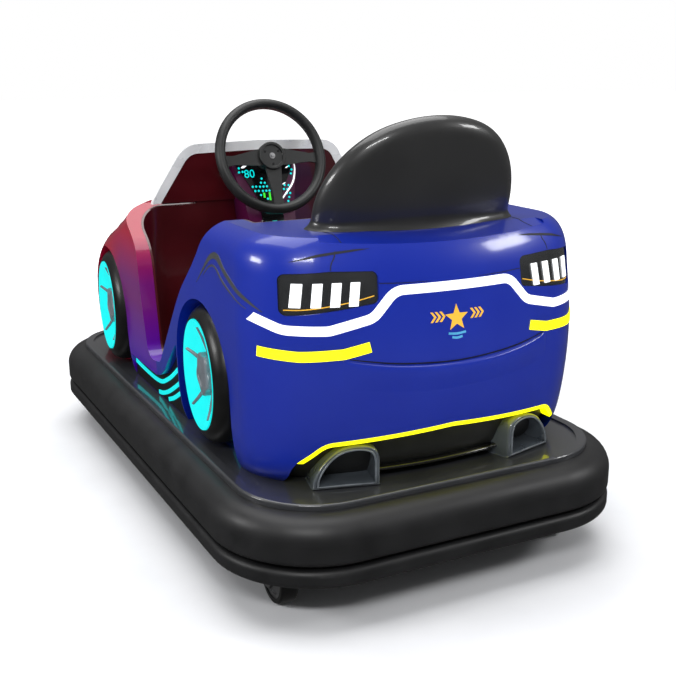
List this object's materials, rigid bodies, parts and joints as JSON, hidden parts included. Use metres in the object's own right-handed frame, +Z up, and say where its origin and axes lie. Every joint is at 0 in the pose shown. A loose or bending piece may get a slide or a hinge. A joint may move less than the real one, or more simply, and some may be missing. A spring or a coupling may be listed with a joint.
{
  "type": "battery bumper car",
  "caption": "Fairground bumper car: ringed rubber bumper, moulded body with an open two-seat cabin, steering wheel coupled to a turning front drive wheel, and two rear wheels.",
  "frame": {"origin": "on the ground under the middle of the bumper", "axes": "+Z up, the front faces -Y, +X is the car's left side"},
  "size_m": [1.035, 1.8, 1.0608],
  "materials": {
    "bumper_rubber": "matt",
    "ring_steel": "satin",
    "deck_paint": "gloss",
    "frame_paint": "satin",
    "rear_paint": "gloss",
    "front_paint": "gloss",
    "liner": "matt",
    "black_plastic": "gloss",
    "lamp_smoke": "satin",
    "white_light": "glowing",
    "yellow_light": "glowing",
    "cyan_light": "glowing",
    "pod_grey": "satin",
    "cowl_red": "gloss",
    "silver_trim": "satin",
    "console_purple": "satin",
    "display_glass": "gloss",
    "wheel_grip": "matt",
    "hub_grey": "satin",
    "steel": "satin",
    "seat_vinyl": "satin",
    "fin_plastic": "satin",
    "battery_case": "matt",
    "tyre_rubber": "matt"
  },
  "bodies": {
    "chassis": {"bumper_lower_ring": "bumper_rubber", "bumper_upper_ring": "bumper_rubber", "bumper_band": "ring_steel", "deck_tray": "deck_paint", "frame_rails": "frame_paint", "frame_cross_members": "frame_paint", "frame_outriggers": "frame_paint", "front_body": "front_paint", "rear_body": "rear_paint", "cabin_tub": "liner", "tail_lamps": "lamp_smoke", "tail_lamp_bars": "white_light", "rear_light_strip": "white_light", "yellow_strips": "yellow_light", "diffuser_light": "yellow_light", "diffuser": "black_plastic", "exhaust_pods": "pod_grey", "headlamps": "white_light", "front_grille": "black_plastic", "sill_panels": "black_plastic", "sill_lights": "cyan_light", "cowl": "cowl_red", "cowl_trim": "silver_trim", "dash_pod": "console_purple", "display_screen": "display_glass", "steering_column": "steel", "seat_bench": "liner", "seat_cushion": "seat_vinyl", "seat_back": "seat_vinyl", "headrest_fin": "fin_plastic", "battery_box": "battery_case", "pedal": "steel", "side_tyre_rear_left": "tyre_rubber", "side_tyre_rear_right": "tyre_rubber", "side_tyre_front_left": "tyre_rubber", "side_tyre_front_right": "tyre_rubber", "side_discs": "cyan_light", "side_hubs": "hub_grey", "rear_brackets": "steel"},
    "steering_wheel": {"steering_rim": "wheel_grip", "steering_hub": "wheel_grip"},
    "drive_fork": {"drive_fork": "steel"},
    "drive_wheel": {"drive_tyre": "tyre_rubber", "drive_hub": "steel"},
    "rear_wheel_left": {"rear_tyre_left": "tyre_rubber", "rear_hub_left": "steel"},
    "rear_wheel_right": {"rear_tyre_right": "tyre_rubber", "rear_hub_right": "steel"}
  },
  "joints": [
    {"name": "steering_turn", "type": "hinge", "parent": "chassis", "child": "steering_wheel", "pos_m": [0, -0.178, 0.9], "axis": [0, 0.9336, 0.3584], "continuous": true},
    {"name": "fork_turn", "type": "hinge", "parent": "chassis", "child": "drive_fork", "pos_m": [0, -0.56, 0.241], "axis": [0, 0, 1], "continuous": true},
    {"name": "drive_spin", "type": "hinge", "parent": "drive_fork", "child": "drive_wheel", "pos_m": [0, -0.56, 0.1], "axis": [1, 0, 0], "continuous": true},
    {"name": "rear_spin_left", "type": "hinge", "parent": "chassis", "child": "rear_wheel_left", "pos_m": [0.3775, 0.695, 0.06], "axis": [1, 0, 0], "continuous": true},
    {"name": "rear_spin_right", "type": "hinge", "parent": "chassis", "child": "rear_wheel_right", "pos_m": [-0.3775, 0.695, 0.06], "axis": [1, 0, 0], "continuous": true}
  ],
  "couplings": [
    {"joint": "fork_turn", "follows": "steering_turn", "ratio": 1}
  ]
}
